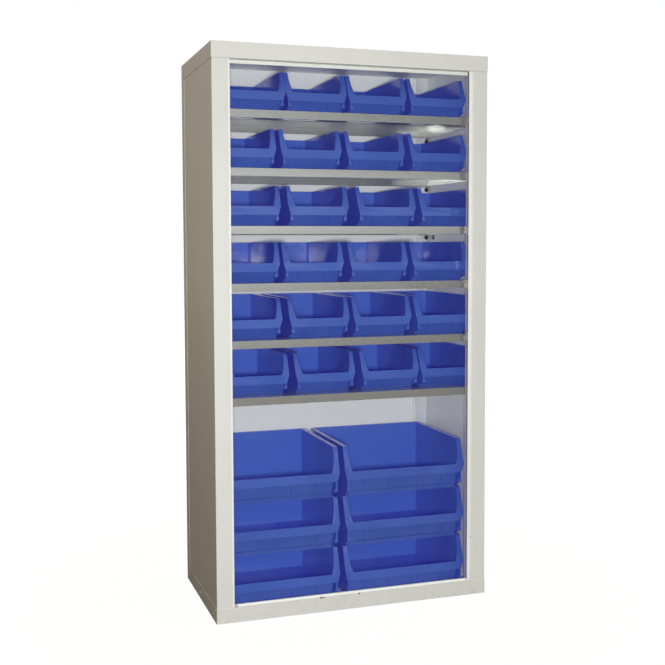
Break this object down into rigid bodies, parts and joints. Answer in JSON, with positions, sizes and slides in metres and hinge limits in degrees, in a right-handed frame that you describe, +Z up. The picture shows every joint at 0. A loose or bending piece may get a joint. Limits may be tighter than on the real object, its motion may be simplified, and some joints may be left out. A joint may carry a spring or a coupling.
{
  "type": "parts bin cabinet",
  "caption": "Open-fronted sheet steel cabinet with galvanised shelves holding rows of hopper-fronted picking bins, above stacks of larger bins on the floor.",
  "frame": {"origin": "on the ground, at the middle of the cabinet's width and depth", "axes": "+Z up, the open front faces -Y, +X to the right as seen from the front"},
  "size_m": [0.915, 0.484, 1.776],
  "materials": {
    "cabinet_paint": "satin",
    "galvanised": "satin",
    "zinc_clip": "satin",
    "bin_blue": "gloss"
  },
  "bodies": {
    "cabinet": {"side_panel_left": "cabinet_paint", "side_panel_right": "cabinet_paint", "back_panel": "cabinet_paint", "top_cap": "cabinet_paint", "base_tray": "cabinet_paint", "floor_panel": "cabinet_paint", "upright_front_left": "galvanised", "upright_front_right": "galvanised", "upright_rear_left": "galvanised", "upright_rear_right": "galvanised", "shelf_1": "galvanised", "shelf_2": "galvanised", "shelf_3": "galvanised", "shelf_4": "galvanised", "shelf_5": "galvanised", "shelf_6": "galvanised", "shelf_clips_1": "zinc_clip", "shelf_clips_2": "zinc_clip", "shelf_clips_3": "zinc_clip", "shelf_clips_4": "zinc_clip", "shelf_clips_5": "zinc_clip", "shelf_clips_6": "zinc_clip"},
    "small_bin_1_1": {"small_bin_1_1": "bin_blue"},
    "small_bin_1_2": {"small_bin_1_2": "bin_blue"},
    "small_bin_1_3": {"small_bin_1_3": "bin_blue"},
    "small_bin_1_4": {"small_bin_1_4": "bin_blue"},
    "small_bin_2_1": {"small_bin_2_1": "bin_blue"},
    "small_bin_2_2": {"small_bin_2_2": "bin_blue"},
    "small_bin_2_3": {"small_bin_2_3": "bin_blue"},
    "small_bin_2_4": {"small_bin_2_4": "bin_blue"},
    "small_bin_3_1": {"small_bin_3_1": "bin_blue"},
    "small_bin_3_2": {"small_bin_3_2": "bin_blue"},
    "small_bin_3_3": {"small_bin_3_3": "bin_blue"},
    "small_bin_3_4": {"small_bin_3_4": "bin_blue"},
    "small_bin_4_1": {"small_bin_4_1": "bin_blue"},
    "small_bin_4_2": {"small_bin_4_2": "bin_blue"},
    "small_bin_4_3": {"small_bin_4_3": "bin_blue"},
    "small_bin_4_4": {"small_bin_4_4": "bin_blue"},
    "small_bin_5_1": {"small_bin_5_1": "bin_blue"},
    "small_bin_5_2": {"small_bin_5_2": "bin_blue"},
    "small_bin_5_3": {"small_bin_5_3": "bin_blue"},
    "small_bin_5_4": {"small_bin_5_4": "bin_blue"},
    "small_bin_6_1": {"small_bin_6_1": "bin_blue"},
    "small_bin_6_2": {"small_bin_6_2": "bin_blue"},
    "small_bin_6_3": {"small_bin_6_3": "bin_blue"},
    "small_bin_6_4": {"small_bin_6_4": "bin_blue"},
    "large_bin_1_1": {"large_bin_1_1": "bin_blue"},
    "large_bin_1_2": {"large_bin_1_2": "bin_blue"},
    "large_bin_2_1": {"large_bin_2_1": "bin_blue"},
    "large_bin_2_2": {"large_bin_2_2": "bin_blue"},
    "large_bin_3_1": {"large_bin_3_1": "bin_blue"},
    "large_bin_3_2": {"large_bin_3_2": "bin_blue"}
  },
  "joints": [
    {"name": "small_bin_1_1_slide", "type": "slide", "parent": "cabinet", "child": "small_bin_1_1", "axis": [0, -1, 0], "range_m": [-0.035, 0.025]},
    {"name": "small_bin_1_2_slide", "type": "slide", "parent": "cabinet", "child": "small_bin_1_2", "axis": [0, -1, 0], "range_m": [-0.035, 0.455]},
    {"name": "small_bin_1_3_slide", "type": "slide", "parent": "cabinet", "child": "small_bin_1_3", "axis": [0, -1, 0], "range_m": [-0.035, 0.455]},
    {"name": "small_bin_1_4_slide", "type": "slide", "parent": "cabinet", "child": "small_bin_1_4", "axis": [0, -1, 0], "range_m": [-0.035, 0.025]},
    {"name": "small_bin_2_1_slide", "type": "slide", "parent": "cabinet", "child": "small_bin_2_1", "axis": [0, -1, 0], "range_m": [-0.035, 0.025]},
    {"name": "small_bin_2_2_slide", "type": "slide", "parent": "cabinet", "child": "small_bin_2_2", "axis": [0, -1, 0], "range_m": [-0.035, 0.455]},
    {"name": "small_bin_2_3_slide", "type": "slide", "parent": "cabinet", "child": "small_bin_2_3", "axis": [0, -1, 0], "range_m": [-0.035, 0.455]},
    {"name": "small_bin_2_4_slide", "type": "slide", "parent": "cabinet", "child": "small_bin_2_4", "axis": [0, -1, 0], "range_m": [-0.035, 0.025]},
    {"name": "small_bin_3_1_slide", "type": "slide", "parent": "cabinet", "child": "small_bin_3_1", "axis": [0, -1, 0], "range_m": [-0.035, 0.025]},
    {"name": "small_bin_3_2_slide", "type": "slide", "parent": "cabinet", "child": "small_bin_3_2", "axis": [0, -1, 0], "range_m": [-0.035, 0.455]},
    {"name": "small_bin_3_3_slide", "type": "slide", "parent": "cabinet", "child": "small_bin_3_3", "axis": [0, -1, 0], "range_m": [-0.035, 0.455]},
    {"name": "small_bin_3_4_slide", "type": "slide", "parent": "cabinet", "child": "small_bin_3_4", "axis": [0, -1, 0], "range_m": [-0.035, 0.025]},
    {"name": "small_bin_4_1_slide", "type": "slide", "parent": "cabinet", "child": "small_bin_4_1", "axis": [0, -1, 0], "range_m": [-0.035, 0.025]},
    {"name": "small_bin_4_2_slide", "type": "slide", "parent": "cabinet", "child": "small_bin_4_2", "axis": [0, -1, 0], "range_m": [-0.035, 0.455]},
    {"name": "small_bin_4_3_slide", "type": "slide", "parent": "cabinet", "child": "small_bin_4_3", "axis": [0, -1, 0], "range_m": [-0.035, 0.455]},
    {"name": "small_bin_4_4_slide", "type": "slide", "parent": "cabinet", "child": "small_bin_4_4", "axis": [0, -1, 0], "range_m": [-0.035, 0.025]},
    {"name": "small_bin_5_1_slide", "type": "slide", "parent": "cabinet", "child": "small_bin_5_1", "axis": [0, -1, 0], "range_m": [-0.035, 0.025]},
    {"name": "small_bin_5_2_slide", "type": "slide", "parent": "cabinet", "child": "small_bin_5_2", "axis": [0, -1, 0], "range_m": [-0.035, 0.455]},
    {"name": "small_bin_5_3_slide", "type": "slide", "parent": "cabinet", "child": "small_bin_5_3", "axis": [0, -1, 0], "range_m": [-0.035, 0.455]},
    {"name": "small_bin_5_4_slide", "type": "slide", "parent": "cabinet", "child": "small_bin_5_4", "axis": [0, -1, 0], "range_m": [-0.035, 0.025]},
    {"name": "small_bin_6_1_slide", "type": "slide", "parent": "cabinet", "child": "small_bin_6_1", "axis": [0, -1, 0], "range_m": [-0.035, 0.025]},
    {"name": "small_bin_6_2_slide", "type": "slide", "parent": "cabinet", "child": "small_bin_6_2", "axis": [0, -1, 0], "range_m": [-0.035, 0.455]},
    {"name": "small_bin_6_3_slide", "type": "slide", "parent": "cabinet", "child": "small_bin_6_3", "axis": [0, -1, 0], "range_m": [-0.035, 0.455]},
    {"name": "small_bin_6_4_slide", "type": "slide", "parent": "cabinet", "child": "small_bin_6_4", "axis": [0, -1, 0], "range_m": [-0.035, 0.025]},
    {"name": "large_bin_1_1_slide", "type": "slide", "parent": "cabinet", "child": "large_bin_1_1", "axis": [0, -1, 0], "range_m": [-0.0115, 0.025]},
    {"name": "large_bin_1_2_slide", "type": "slide", "parent": "cabinet", "child": "large_bin_1_2", "axis": [0, -1, 0], "range_m": [-0.0115, 0.025]},
    {"name": "large_bin_2_1_slide", "type": "slide", "parent": "cabinet", "child": "large_bin_2_1", "axis": [0, -1, 0], "range_m": [-0.0115, 0.025]},
    {"name": "large_bin_2_2_slide", "type": "slide", "parent": "cabinet", "child": "large_bin_2_2", "axis": [0, -1, 0], "range_m": [-0.0115, 0.025]},
    {"name": "large_bin_3_1_slide", "type": "slide", "parent": "cabinet", "child": "large_bin_3_1", "axis": [0, -1, 0], "range_m": [-0.0115, 0.025]},
    {"name": "large_bin_3_2_slide", "type": "slide", "parent": "cabinet", "child": "large_bin_3_2", "axis": [0, -1, 0], "range_m": [-0.0115, 0.025]}
  ]
}
